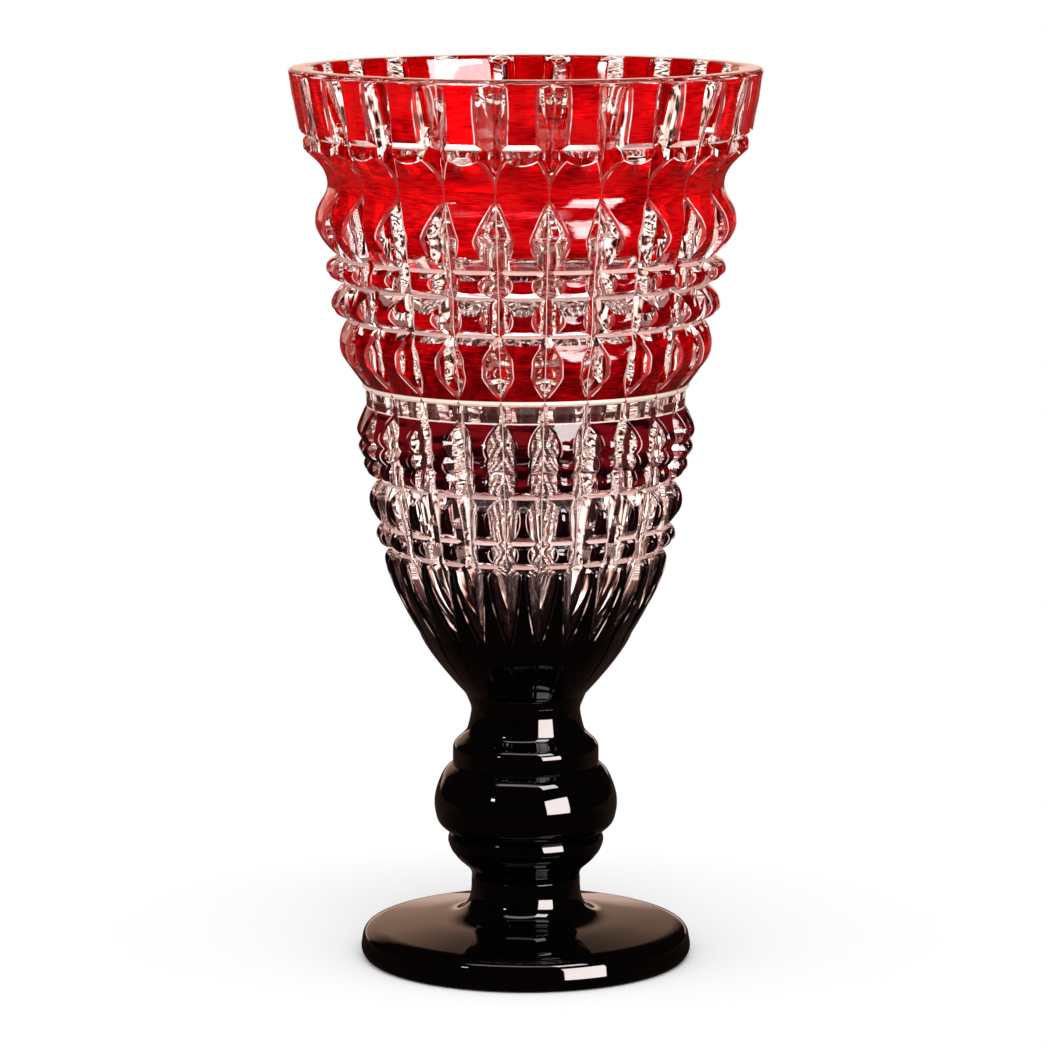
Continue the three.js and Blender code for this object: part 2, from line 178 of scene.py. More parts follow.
# Each skin: the turns that it lies between, and how far it stops short of them
SKINS = {
    "black_casing": ("base", 0.0, "band_bottom", 0.3),
    "ruby_lower_casing": ("ridge_top", 0.0, "ring_cut_g", 0.0),
    "ruby_waist_casing": ("ring_cut_g", 0.0, "bead_bottom", 0.3),
    "rim_panel": ("panel_bottom", 0.1, "lip", 0.3),
}


def stacked(turns):
    """The turns, each given its height on the vase."""
    z = STEM_TOP
    for turn in turns:
        z += turn.rise
        turn.z = z
    return turns


OUTLINE = stacked(list(TURNS.values()))
CRESTS = [turn for turn in OUTLINE if not turn.ring]

# Where the crystal is painted pale as highlight lines: the bottoms of the V-cuts between two turns, and rings round
# the vase from one height to another
HIGHLIGHTED_CUTS = ("ring_cut_a", "waist")
PAINTED_LINES = [(turn.z - RING_FLAT, turn.z + RING_FLAT, CUT_BOTTOM) for turn in OUTLINE if turn.ring]
PAINTED_LINES += [(TURNS[name].z - FINE_LINE, TURNS[name].z + FINE_LINE, CUT_BOTTOM)
               for name in ("band_bottom", "ring_cut_h")]
PAINTED_LINES += [(TURNS["ridge"].z - RIDGE_HIGHLIGHT_BELOW, TURNS["ridge_top"].z, RIDGE_HIGHLIGHT)]


def outline_at(z):
    """The outline's radius, the V-cuts' half-width and the line's sag at a height."""
    for low, high in zip(OUTLINE, OUTLINE[1:]):
        if z <= high.z:
            part = max(0.0, (z - low.z) / (high.z - low.z))
            return [at_low + (at_high - at_low) * blend for at_low, at_high, blend in (
                (low.radius, high.radius, high.shape(part)),
                (low.cut, high.cut, high.cut_shape(part)),
                (low.sag, high.sag, wave(part)))]
    return OUTLINE[-1].radius, OUTLINE[-1].cut, OUTLINE[-1].sag


def blank_at(z):
    """The radius of the blank before the rings were cut: the outline, run straight over each ring cut."""
    for low, high in zip(CRESTS, CRESTS[1:]):
        if z <= high.z:
            if OUTLINE.index(high) == OUTLINE.index(low) + 1:
                return outline_at(z)[0]
            return low.radius + (high.radius - low.radius) * (z - low.z) / (high.z - low.z)
    return OUTLINE[-1].radius


def skin_span(name):
    low, above, high, below = SKINS[name]
    return TURNS[low].z + above, TURNS[high].z - below


def wall_at(z):
    """The wall that the skins have at a height, thinning out at the ends of each, but not at the vase's heel."""
    wall = 0.0
    for name in SKINS:
        low, high = skin_span(name)
        if name == "black_casing":
            low -= SKIN_FADE
        if low < z < high:
            wall = SKIN_WALL * min(1.0, (z - low) / SKIN_FADE, (high - z) / SKIN_FADE)
    return wall


class Row:
    """One height of the bowl: the outline, the inner surface of the skin and the V-cuts through both."""

    def __init__(self, z, skin_ends=False, window_tip=False):
        self.z = z
        self.radius, cut, self.sag = outline_at(z)
        self.groove = self.radius - cut / CUT_FLANK
        self.inner = self.radius if skin_ends else min(self.radius, blank_at(z) - wall_at(z))
        if window_tip:
            self.groove = self.inner
        self.skin = self.radius - self.inner
        low, high = skin_span("rim_panel")
        islands = low - TINY < z < high + TINY
        least = PANEL_GAP / 2 if islands else 0.0
        self.open = islands or self.groove < self.inner - TINY
        self.core = self.inner - min(SEAM_GAP, self.skin / 2)
        self.worn = min(EDGE_BEVEL, BEVEL_OF_SKIN * self.skin, BEVEL_OF_CUT * (self.radius - self.groove))
        self.outer_run, self.worn_run, self.inner_run, self.core_run = [
            max(least, (at - self.groove) * CUT_FLANK) / at
            for at in (self.radius, self.radius - self.worn, self.inner, self.core)]


def crossing(low, high, test):
    """The height between two others at which a test changes, by halving."""
    before = test(Row(low))
    for _ in range(HALVINGS):
        middle = (low + high) / 2
        if test(Row(middle)) == before:
            low = middle
        else:
            high = middle
    return (low + high) / 2


def bowl_rows(low, high):
    """Rows at the turns between two heights, at steps between them, and where a skin or a window in it ends."""
    heights = {low, high, HEEL_FLOOR}
    for name in SKINS:
        bottom, top = skin_span(name)
        heights |= {bottom, bottom + SKIN_FADE, top - SKIN_FADE, top}
    for below, above in zip(OUTLINE, OUTLINE[1:]):
        steps = max(1, math.ceil(above.rise / ROW_STEP))
        heights |= {below.z + (above.z - below.z) * k / steps for k in range(steps + 1)}
    heights |= {z for line in PAINTED_LINES for z in line[:2]}
    heights = sorted(z for z in heights if low <= z <= high)
    ends = {}
    tests = {"skin_ends": lambda row: row.skin > TINY, "window_tip": lambda row: row.open}
    for kind, test in tests.items():
        for a, b in zip(heights, heights[1:]):
            if test(Row(a)) != test(Row(b)):
                ends[crossing(a, b, test)] = kind
    plain = [z for z in heights if all(abs(z - end) > ROW_GAP for end in ends)]
    rows = [Row(z) for z in plain] + [Row(z, **{kind: True}) for z, kind in ends.items()]
    return sorted(rows, key=lambda row: row.z)


class Shell:
    """A closed mesh gathered face by face. Corners at one place are one vertex, and faces that shrink away go."""

    def __init__(self):
        self.places = {}
        self.corners = []
        self.faces = []
        self.slots = []

    def corner(self, radius, angle, z):
        point = (radius * math.cos(angle), radius * math.sin(angle), z)
        key = tuple(round(value * CORNERS_PER_MM) for value in point)
        if key not in self.places:
            self.places[key] = len(self.corners)
            self.corners.append(tuple(value * MM for value in point))
        return self.places[key]

    def face(self, corners, slot=0):
        ring = [c for i, c in enumerate(corners) if c != corners[i - 1]]
        if len(ring) > 2:
            self.faces.append(ring)
            self.slots.append(slot)

    def strip(self, low, high, slot=0):
        """Faces between two lists of corners, one above the other, seen from the side that they go right on."""
        for i in range(len(low) - 1):
            self.face([low[i], low[i + 1], high[i + 1], high[i]], slot)

    def fan(self, ring, z, slot=0):
        """Faces from a ring of corners to the axis, seen from above when the ring goes left."""
        for i in range(len(ring) - 1):
            self.face([ring[i], ring[i + 1], self.corner(0, 0, z)], slot)

    def mesh(self, name, materials):
        mesh = bpy.data.meshes.new(name)
        mesh.from_pydata(self.corners, [], self.faces)
        mesh.polygons.foreach_set("material_index", self.slots)
        for material in materials:
            mesh.materials.append(material)
        mesh.shade_smooth()
        mesh.set_sharp_from_angle(angle=SHARP_ANGLE)
        return mesh


def piece(name, mesh, node):
    """An object of the vase that stands for a CAD node."""
    made = bpy.data.objects.new(name, mesh)
    bpy.context.scene.collection.objects.link(made)
    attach(made, "root")
    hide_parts(node)
    return made


def sector(k):
    """The angles of a sector's two cuts."""
    return FIRST_CUT + k * PITCH, FIRST_CUT + (k + 1) * PITCH


def across(shell, radius, run, k, z, sag=0.0, margin=0.0):
    """Corners from one cut of a sector to the next, at so much of an angle from both, hanging down between them. A
    margin puts two more corners close to each end."""
    start, end = sector(k)
    first, last = start + run, end - run
    steps = [i / PANEL_COLUMNS for i in range(PANEL_COLUMNS + 1)]
    if margin:
        near = min(margin / (last - first), MARGIN_OF_COLUMN / PANEL_COLUMNS)
        steps = [0, near, 2 * near] + steps[1:-1] + [1 - 2 * near, 1 - near, 1]
    return [shell.corner(radius, first + (last - first) * u, z - sag * 4 * u * (1 - u)) for u in steps]


def skin_line(shell, row, radius, run, k):
    """Corners along the outside or the inside of a skin."""
    return across(shell, radius, run, k, row.z, row.sag, EDGE_BEVEL / row.radius)


def skin_corners(shell, row, k, open_cut):
    """The corners of a skin at one row, outside and inside, both with the middles or the edges of the cuts."""
    start, end = sector(k)
    outside = skin_line(shell, row, row.radius, row.outer_run, k)
    edges = [shell.corner(row.radius - row.worn, angle, row.z) for angle in (start + row.worn_run, end - row.worn_run)]
    outside = [edges[0]] + outside[1:-1] + [edges[1]]
    inside = skin_line(shell, row, row.inner, row.inner_run, k)
    if open_cut:
        return [inside[0]] + outside + [inside[-1]], inside
    groove = [shell.corner(row.groove, angle, row.z) for angle in (start, end)]
    middle = [shell.corner(row.inner, angle, row.z) for angle in (start, end)]
    return [groove[0]] + outside + [groove[1]], [middle[0]] + inside + [middle[1]]


def stretches(rows):
    """Every two rows that follow each other, with the row halfway between them, which tells what is there."""
    return [(low, high, Row((low.z + high.z) / 2)) for low, high in zip(rows, rows[1:])]


def add_skin(shell, spans, k):
    """One sector of a skin, wherever there is any between two rows."""
    for low, high, between in spans:
        if between.skin <= TINY:
            continue
        outer_low, inner_low = skin_corners(shell, low, k, between.open)
        outer_high, inner_high = skin_corners(shell, high, k, between.open)
        # The bevels along an open cut are painted pale as highlight lines
        worn = EDGE_HIGHLIGHT if between.open else OUTSIDE
        for side, slot in ((slice(2), CUT_EDGE), (slice(1, 3), worn), (slice(2, -2), OUTSIDE),
                           (slice(-3, -1), worn), (slice(-2, None), CUT_EDGE)):
            shell.strip(outer_low[side], outer_high[side], slot)
        if between.z > HEEL_FLOOR:
            shell.strip(inner_low[::-1], inner_high[::-1], SEAM)


def casing(name, materials):
    """A skin that goes all the way round."""
    shell = Shell()
    spans = stretches(bowl_rows(*skin_span(name)))
    for k in range(CUT_COUNT):
        add_skin(shell, spans, k)
    if name == "black_casing":
        close_heel(shell)
    return shell.mesh(name, materials)


def rim_panel(k, materials):
    shell = Shell()
    add_skin(shell, stretches(bowl_rows(*skin_span("rim_panel"))), k)
    return shell.mesh(f"rim_panel_{k + 1:02d}", materials)


def close_heel(shell):
    """The underside of the black skin and the floor that the crystal stands on."""
    base, floor = Row(STEM_TOP), Row(HEEL_FLOOR)
    for k in range(CUT_COUNT):
        shell.fan(skin_line(shell, base, base.radius, 0, k)[::-1], base.z, OUTSIDE)
        shell.fan(skin_line(shell, floor, floor.inner, 0, k), floor.z, SEAM)


def crystal_bowl(materials):
    """The clear core: bare where no skin lies on it, except for lines painted pale as highlights, and with a seam that
    light passes straight where one does.
    """
    shell = Shell()
    spans = stretches(bowl_rows(HEEL_FLOOR, VASE_HEIGHT - RIM_ROUND))
    lowest, highest = [TURNS[name].z for name in HIGHLIGHTED_CUTS]
    flat = 2    # corners across each half of a cut's blunt bottom
    for k in range(CUT_COUNT):
        last = core_corners(shell, spans[0][0], k)
        shell.fan(last[::-1], spans[0][0].z + SEAM_GAP, COVERED)
        for _, high, between in spans:
            ring = core_corners(shell, high, k)
            # The bottoms of the cuts between these heights are painted pale as highlight lines
            bottom = CUT_BOTTOM if lowest < between.z < highest else BARE
            for side in (slice(None, flat), slice(-flat, None)):
                shell.strip(last[side], ring[side], bottom)
            for side in (slice(flat - 1, flat + 1), slice(-flat - 1, 1 - flat)):
                shell.strip(last[side], ring[side], BARE)
            shell.strip(last[flat:-flat], ring[flat:-flat], surface_of(between))
            last = ring
        last = last[flat:-flat]
        for radius, z in rim_profile() + hollow_profile():
            ring = across(shell, radius, 0, k, z)
            shell.strip(last, ring, BARE)
            last = ring
    return shell.mesh("crystal_bowl", materials)


def surface_of(row):
    """What the core's outside is at a row: under a skin, painted pale as a highlight line, or bare."""
    if row.skin > TINY:
        return COVERED
    return next((slot for low, high, slot in PAINTED_LINES if low < row.z < high), BARE)


def core_corners(shell, row, k):
    """The corners of the core at one row, from the middle of one cut to that of the next. The lowest row stands on
    the black heel."""
    start, end = sector(k)
    z = max(row.z, HEEL_FLOOR + SEAM_GAP)
    groove = min(row.groove, row.core)
    flat = min(GROOVE_FLAT / groove, row.core_run / 3)
    first = [shell.corner(groove, start + turn, z) for turn in (0, flat)]
    last = [shell.corner(groove, end - turn, z) for turn in (flat, 0)]
    return first + across(shell, row.core, row.core_run, k, z, row.sag) + last


def rim_profile():
    """The polished rim, rounded off outside and inside."""
    outside = TURNS["rim"].radius - RIM_ROUND
    inside = TURNS["rim"].radius - RIM_WALL + RIM_ROUND
    quarter = [math.pi / 2 * k / RIM_STEPS for k in range(RIM_STEPS + 1)]
    top = VASE_HEIGHT - RIM_ROUND
    rise = [(outside + RIM_ROUND * math.cos(turn), top + RIM_ROUND * math.sin(turn)) for turn in quarter[1:]]
    fall = [(inside - RIM_ROUND * math.sin(turn), top + RIM_ROUND * math.cos(turn)) for turn in quarter]
    return rise + fall


def hollow_profile():
    """The smooth inside of the bowl, from the rim down to the middle of its floor: a curve through all its points."""
    points = [Vector((radius, VASE_HEIGHT - depth)) for radius, depth in HOLLOW]
    points = [points[0]] + points + [Vector((-points[-2].x, points[-2].y))]
    profile = []
    for before, a, b, after in zip(points, points[1:], points[2:], points[3:]):
        for k in range(HOLLOW_STEPS):
            u = (k + 1) / HOLLOW_STEPS
            point = (2 * a + (b - before) * u + (2 * before - 5 * a + 4 * b - after) * u ** 2
                     + (3 * a - before - 3 * b + after) * u ** 3) / 2
            profile.append((max(0.0, point.x), point.y))
    profile[-1] = (0.0, profile[-1][1])
    return profile


def rounded(points):
    """A profile of (radius, height, rounding) points as a list of (radius, height), with each corner an arc-like
    curve that starts and ends at the rounding from the corner."""
    profile = []
    for i, (radius, z, rounding) in enumerate(points):
        corner = Vector((radius, z))
        if rounding == 0:
            profile.append((radius, z))
            continue
        start = (Vector(points[i - 1][:2]) - corner).normalized() * rounding + corner
        end = (Vector(points[i + 1][:2]) - corner).normalized() * rounding + corner
        for k in range(ROUND_STEPS + 1):
            u = k / ROUND_STEPS
            point = start * (1 - u) ** 2 + corner * 2 * u * (1 - u) + end * u ** 2
            profile.append((point.x, point.y))
    return profile


def turned(name, points, material):
    """A turned piece of the stem, from a profile that starts and ends on the axis."""
    shell = Shell()
    rings = [[shell.corner(radius, math.tau * k / LATHE_STEPS, z) for k in range(LATHE_STEPS)]
             for radius, z in rounded(points)]
    for low, high in zip(rings, rings[1:]):
        shell.strip(low + low[:1], high + high[:1])
    return shell.mesh(name, [material])


class Nodes:
    """Short ways to add nodes to a material's or the world's tree."""

    MIX_INPUTS = (0, 6, 7)      # a Mix node's sockets for the factor and two colours
    MIX_OUTPUT = 2              # the socket that gives the mixed colour

    def __init__(self, tree):
        self.tree = tree
        self.tree.nodes.clear()

    def add(self, kind, **settings):
        made = self.tree.nodes.new(kind)
        for name, value in settings.items():
            setattr(made, name, value)
        return made

    def link(self, source, target):
        """Joins a socket to another, or sets the other to a plain value."""
        if hasattr(source, "links"):
            self.tree.links.new(source, target)
        else:
            target.default_value = source

    def math(self, operation, *values, clamp=False):
        made = self.add("ShaderNodeMath", operation=operation, use_clamp=clamp)
        for value, socket in zip(values, made.inputs):
            self.link(value, socket)
        return made.outputs[0]

    def dot(self, vector, direction):
        made = self.add("ShaderNodeVectorMath", operation="DOT_PRODUCT")
        self.link(vector, made.inputs[0])
        made.inputs[1].default_value = direction
        return made.outputs["Value"]

    def mix(self, factor, a, b):
        """A mix of two colours."""
        made = self.add("ShaderNodeMix", data_type="RGBA")
        for value, socket in zip((factor, a, b), self.MIX_INPUTS):
            self.link(value, made.inputs[socket])
        return made.outputs[self.MIX_OUTPUT]

    def ramp(self, factor, *stops):
        """The colour that a factor has among stops, each a position and a colour."""
        made = self.add("ShaderNodeValToRGB")
        elements = made.color_ramp.elements
        while len(elements) < len(stops):
            elements.new(0.5)
        for element, (position, shade) in zip(elements, stops):
            element.position = position
            element.color = shade
        self.link(factor, made.inputs[0])
        return made.outputs[0]

    def span(self, value, start, end):
        """0 where a value is at the start of a span, 1 at its end."""
        made = self.add("ShaderNodeMapRange")
        made.inputs["From Min"].default_value = start
        made.inputs["From Max"].default_value = end
        self.link(value, made.inputs["Value"])
        return made.outputs[0]

    def height(self, vector, start, end):
        """0 at one height of a place, 1 at another."""
        return self.span(self.dot(vector, (0, 0, 1)), start, end)

    def noise(self, vector, scale, stretch=(1, 1, 1), detail=3.0):
        """Noise on a vector that is first stretched by three factors."""
        mapping = self.add("ShaderNodeMapping", vector_type="POINT")
        mapping.inputs["Scale"].default_value = stretch
        self.link(vector, mapping.inputs["Vector"])
        made = self.add("ShaderNodeTexNoise")
        made.inputs["Scale"].default_value = scale
        made.inputs["Detail"].default_value = detail
        self.link(mapping.outputs[0], made.inputs["Vector"])
        return made.outputs["Fac"]

    def bump(self, height, strength, distance):
        made = self.add("ShaderNodeBump")
        made.inputs["Strength"].default_value = strength
        made.inputs["Distance"].default_value = distance
        self.link(height, made.inputs["Height"])
        return made.outputs[0]

    def glass(self, tint, **settings):
        """The output, showing a Principled shader."""
        shader = self.add("ShaderNodeBsdfPrincipled")
        self.link(tint, shader.inputs["Base Color"])
        for name, value in settings.items():
            self.link(value, shader.inputs[name.replace("_", " ").title().replace("Ior", "IOR")])
        self.show(shader.outputs[0])

    def glow(self, tint):
        shader = self.add("ShaderNodeEmission")
        self.link(tint, shader.inputs["Color"])
        return shader.outputs[0]

    def either(self, factor, a, b):
        """A mix of two shaders."""
        made = self.add("ShaderNodeMixShader")
        for value, socket in zip((factor, a, b), made.inputs):
            self.link(value, socket)
        return made.outputs[0]

    def show(self, surface, kind="ShaderNodeOutputMaterial"):
        self.link(surface, self.add(kind).inputs["Surface"])


def colour(red, green, blue):
    return red, green, blue, 1.0


def material(name):
    made = bpy.data.materials.new(name)
    made.use_nodes = True
    return made, Nodes(made.node_tree)


def place(nodes):
    """Where a point is on the object, in metres."""
    return nodes.add("ShaderNodeTexCoord").outputs["Object"]


WHITE = colour(1, 1, 1)

# The colours of the glass. Tints are two colours that noise mixes, and a ramp is a list of (position, colour).
CRYSTAL_TINTS = colour(0.98, 0.9, 0.88), colour(1, 0.96, 0.94)
RUBY = [(0.3, colour(0.16, 0.0, 0.003)), (0.41, colour(0.48, 0.0, 0.004)), (0.48, colour(0.84, 0.002, 0.006)),
        (0.56, colour(1, 0.01, 0.012))]
RUBY_EDGE_TINTS = colour(0.55, 0.04, 0.05), colour(0.9, 0.3, 0.28)
RUBY_SEAM = colour(0.86, 0.015, 0.02)
# Painted highlights: the pale line over the clear band, and the pale bottoms of the cuts
RIDGE_HIGHLIGHT_TINTS = colour(1, 0.71, 0.58), colour(1, 0.88, 0.76)
CUT_BOTTOM_HIGHLIGHT_TINTS = colour(0.9, 0.55, 0.5), colour(1, 0.82, 0.77)
STEM_TINTS = colour(0.0004, 0.0003, 0.0003), colour(0.0012, 0.0008, 0.0007)

# The painted highlight lines along the cut edges: the colour of the glass where no highlight is painted and the noise
# up to which none is, then the painted highlight as (noise over that, colour)
RUBY_EDGE_HIGHLIGHT = colour(0.4, 0.01, 0.015), 0.46
BLACK_EDGE_HIGHLIGHT = colour(0.01, 0.004, 0.004), 0.53
EDGE_HIGHLIGHTS = [(0.08, colour(1, 0.62, 0.55)), (0.16, colour(1, 0.86, 0.82))]

# The black skin, from black to dark ruby: position, colour, and how many times a haze is added to each part of it
BLACK_SKIN = [
    (0.0, (0.0007, 0.0005, 0.0005), (1, 0.6, 0.65)),
    (0.4, (0.006, 0, 0.0006), (2, 1.2, 1.3)),
    (0.7, (0.024, 0, 0.002), (3, 1.4, 1.5)),
    (1.0, (0.14, 0.003, 0.005), (3, 1, 1)),
]
STREAK_GAIN, STREAK_BASE = 3.6, 0.8     # how strongly the streaks in it show, and what is taken off them
SEAM_HAZE = 0.08

# Heights in metres between which the ruby grows deeper and the black skin redder, and how much deeper the ruby grows
RUBY_DEEPENS = 0.262, 0.205
BLACK_REDDENS = 0.135, 0.19
RUBY_DEPTH = 0.2


def clear_crystal():
    """Polished lead crystal, faintly warm, with the slight unevenness of hand-held cuts."""
    made, nodes = material("clear_crystal")
    at = place(nodes)
    tint = nodes.mix(nodes.noise(at, scale=260), *CRYSTAL_TINTS)
    waves = nodes.noise(at, scale=75, stretch=(1, 1, 0.5), detail=0.5)
    nodes.glass(tint, transmission_weight=1.0, roughness=0.02, ior=CRYSTAL_IOR,
                normal=nodes.bump(waves, strength=0.12, distance=0.0005))
    return made


def ruby_outside():
    """The polished outside of the ruby skin, with fine streaks round the vase from its gather."""
    made, nodes = material("ruby_outside")
    at = place(nodes)
    streaks = nodes.noise(at, scale=190, stretch=(1, 1, 9), detail=5)
    cloud = nodes.noise(at, scale=45, stretch=(1, 1, 1.6))
    speckle = nodes.math("ADD", nodes.math("MULTIPLY", streaks, 0.5), nodes.math("MULTIPLY", cloud, 0.5))
    deeper = nodes.math("MULTIPLY", nodes.height(at, *RUBY_DEEPENS), RUBY_DEPTH)
    shade = nodes.ramp(nodes.math("SUBTRACT", speckle, deeper), *RUBY)
    nodes.glass(shade, transmission_weight=0.56, roughness=0.012, ior=CRYSTAL_IOR,
                normal=nodes.bump(speckle, strength=0.14, distance=0.0004))
    return made


def ruby_edge():
    """The ruby skin where a cut goes through it."""
    made, nodes = material("ruby_edge")
    tint = nodes.mix(nodes.noise(place(nodes), scale=200), *RUBY_EDGE_TINTS)
    nodes.glass(tint, transmission_weight=0.75, roughness=0.05, ior=CRYSTAL_IOR)
    return made


def painted_line_highlight(name, tints, transmission):
    """Rough crystal painted pale as a highlight line, so that it is pale from every side."""
    made, nodes = material(name)
    grain = nodes.noise(place(nodes), scale=1400)
    nodes.glass(nodes.mix(grain, *tints), transmission_weight=transmission, roughness=0.4, ior=CRYSTAL_IOR,
                normal=nodes.bump(grain, strength=0.2, distance=0.0002))
    return made


def painted_edge_highlight(name, glass, glass_until):
    """The narrow bevel of a skin along a cut, painted pale as a highlight line except where the noise leaves the
    glass's own colour.
    """
    made, nodes = material(name)
    highlight_patches = nodes.noise(place(nodes), scale=110, detail=2)
    shade = nodes.ramp(highlight_patches, (glass_until, glass), *((glass_until + more, pale) for more, pale in EDGE_HIGHLIGHTS))
    nodes.glass(shade, transmission_weight=0.2, roughness=0.25, ior=CRYSTAL_IOR)
    return made


def seam(name, tint):
    """Where two glasses are fused, light goes straight through and takes the skin's colour."""
    made, nodes = material(name)
    shader = nodes.add("ShaderNodeBsdfTransparent")
    shader.inputs["Color"].default_value = tint
    nodes.show(shader.outputs[0])
    return made


def black_shade(nodes, haze):
    """The black skin's colour, black below and dark ruby in streaks towards the top, and the streaks. A haze makes the
    skin so much paler."""
    at = place(nodes)
    streaks = nodes.noise(at, scale=60, stretch=(1, 1, 5), detail=4)
    uneven = nodes.math("SUBTRACT", nodes.math("MULTIPLY", streaks, STREAK_GAIN), STREAK_BASE)
    red = nodes.math("MULTIPLY", nodes.height(at, *BLACK_REDDENS), uneven)
    stops = [(position, colour(*(part + share * haze for part, share in zip(parts, shares))))
             for position, parts, shares in BLACK_SKIN]
    return nodes.ramp(red, *stops), streaks


def black_skin():
    """The polished outside of the black skin."""
    made, nodes = material("black_skin")
    shade, streaks = black_shade(nodes, haze=0.0)
    nodes.glass(shade, roughness=0.03, ior=CRYSTAL_IOR, normal=nodes.bump(streaks, strength=0.06, distance=0.0003))
    return made


def black_seam():
    """The inside of the black skin, seen through the crystal fused to it, so that it has no gloss of its own."""
    made, nodes = material("black_seam")
    shade, _ = black_shade(nodes, SEAM_HAZE)
    nodes.glass(shade, roughness=1.0, ior=CRYSTAL_IOR, specular_ior_level=0.0)
    return made


def black_glass():
    """The black glass of the stem and foot, fire-polished, with faint waves round it."""
    made, nodes = material("black_glass")
    at = place(nodes)
    shade = nodes.mix(nodes.noise(at, scale=30), *STEM_TINTS)
    waves = nodes.noise(at, scale=26, stretch=(1, 1, 3), detail=1.0)
    nodes.glass(shade, roughness=0.025, ior=CRYSTAL_IOR, normal=nodes.bump(waves, strength=0.08, distance=0.0006))
    return made


def bowl():
    """The crystal, the skins that go all the way round and the 24 rim panels."""
    crystal = [clear_crystal(), seam("open_seam", WHITE)]
    ruby = [ruby_outside(), seam("ruby_seam", RUBY_SEAM), ruby_edge(), painted_edge_highlight("ruby_edge_painted_highlight", *RUBY_EDGE_HIGHLIGHT)]
    black = black_skin()
    black_skins = [black, black_seam(), black, painted_edge_highlight("black_edge_painted_highlight", *BLACK_EDGE_HIGHLIGHT)]
    crystal += [painted_line_highlight("ridge_painted_highlight", RIDGE_HIGHLIGHT_TINTS, 0.0), painted_line_highlight("cut_bottom_painted_highlight", CUT_BOTTOM_HIGHLIGHT_TINTS, 0.1)]

    piece("crystal_bowl", crystal_bowl(crystal), "crystal_bowl")
    piece("black_casing", casing("black_casing", black_skins), "black_casing")
    for name in ("ruby_lower_casing", "ruby_waist_casing"):
        piece(name, casing(name, ruby), name)
    for k in range(CUT_COUNT):
        name = f"rim_panel_{k + 1:02d}"
        piece(name, rim_panel(k, ruby), name)


# The stem and foot, as (radius, height, rounding)
STEM = {
    "foot": [(0, 0, 0), (55.2, 0, 1), (56.9, 2.7, 1.6), (55.8, 9.4, 2.4), (52, 10.9, 1.6), (34, 13.2, 4),
             (18.9, 14.6, 9.5), (18.6, 28, 0.3), (0, 28, 0)],
    "merese": [(0, 28, 0), (18.4, 28, 0.3), (19, 30.4, 1.6), (23.2, 34, 1), (25.6, 37, 1), (26.9, 40.4, 1.3),
               (26, 43.5, 0.8), (0, 43.5, 0)],
    "knop": [(0, 43.5, 0), (26.2, 43.5, 0.5), (30.2, 46.7, 2.2), (31.9, 54, 4.2), (29.9, 60.8, 2.6),
             (27.7, 65.2, 2), (25.4, 67, 0.3), (0, 67, 0)],
    "stem_collar": [(0, 67, 0), (25, 67, 0.5), (25, 74.2, 2.2), (22.6, 76.2, 0.8), (20.3, 78.4, 1.2),
                    (19.2, 82, 2.4), (18.5, 86.6, 1.6), (19.4, 88.8, 0.2), (0, 88.8, 0)],
}


def stem():
    glass = black_glass()
    for name, points in STEM.items():
        piece(name, turned(name, points, glass), name)


# The photograph's camera, fitted to the vase's outline. It looks down a little.
CAMERA_AT = (-0.0006, -1.595, 0.395)
CAMERA_TILT = math.radians(81.26)
CAMERA_LENS = 162.8
SENSOR_WIDTH = 36
FARTHEST_SEEN = 20


def camera():
    data = bpy.data.cameras.new("camera")
    data.lens = CAMERA_LENS
    data.sensor_width = SENSOR_WIDTH
    data.sensor_fit = "HORIZONTAL"
    data.clip_end = FARTHEST_SEEN
    made = bpy.data.objects.new("camera", data)
    made.location = CAMERA_AT
    made.rotation_euler = (CAMERA_TILT, 0, 0)
    bpy.context.scene.collection.objects.link(made)
    bpy.context.scene.camera = made


def towards(azimuth, elevation):
    """The direction at an azimuth, right of the camera's side of the vase, and an elevation, in degrees."""
    turn, rise = math.radians(azimuth), math.radians(elevation)
    return Vector((math.sin(turn) * math.cos(rise), -math.cos(turn) * math.cos(rise), math.sin(rise)))


# What gloss shows of the room. Each window has its azimuth and elevation, the tangents of its half-angles across and
# up, its colour and how soft its edge is.
ROOM = colour(0.01, 0.007, 0.006)
WINDOWS = [
    (194, 12, 0.5, 0.36, colour(0.7, 0.42, 0.29), 0.25),        # a tan wall behind
    (186, 1, 0.6, 0.12, colour(1.1, 0.76, 0.63), 0.08),         # the paler foot of the wall
    (-12, 61, 0.5, 0.12, colour(4.6, 4, 4.6), 0.11),            # a strip on the ceiling
    (-45, 24, 0.045, 0.03, colour(30, 30, 30), 0.01),           # a small lamp
    (42, 12, 0.28, 0.25, colour(20, 17.6, 17.4), 0.01),         # the softbox
]

# What diffuse light sees: a white room, dark behind and bright towards its front, a little left and above
DIM, BRIGHT = colour(0.1, 0.1, 0.1), colour(1.25, 1.25, 1.25)
ROOM_FRONT = (-0.2, -0.88, 0.42)

# What shows through the glass: screens of a cream and of a pink kind, each with dark gaps and lights, and the noise
# between whose two values one kind turns into the other
SCREEN_STOPS = 0.42, 0.46, 0.5, 0.56, 0.61
CREAM_SCREENS = [colour(0.01, 0.004, 0.004), colour(0.35, 0.13, 0.07), colour(1, 0.64, 0.53), colour(1.25, 1.0, 0.9),
                 colour(2.8, 2.55, 2.4)]
PINK_SCREENS = [colour(0.01, 0.004, 0.006), colour(0.3, 0.09, 0.12), colour(0.95, 0.58, 0.63),
                colour(1.2, 0.96, 1.02), colour(2.7, 2.45, 2.6)]
KIND_CHANGES = [(0.42, colour(0, 0, 0)), (0.58, WHITE)]


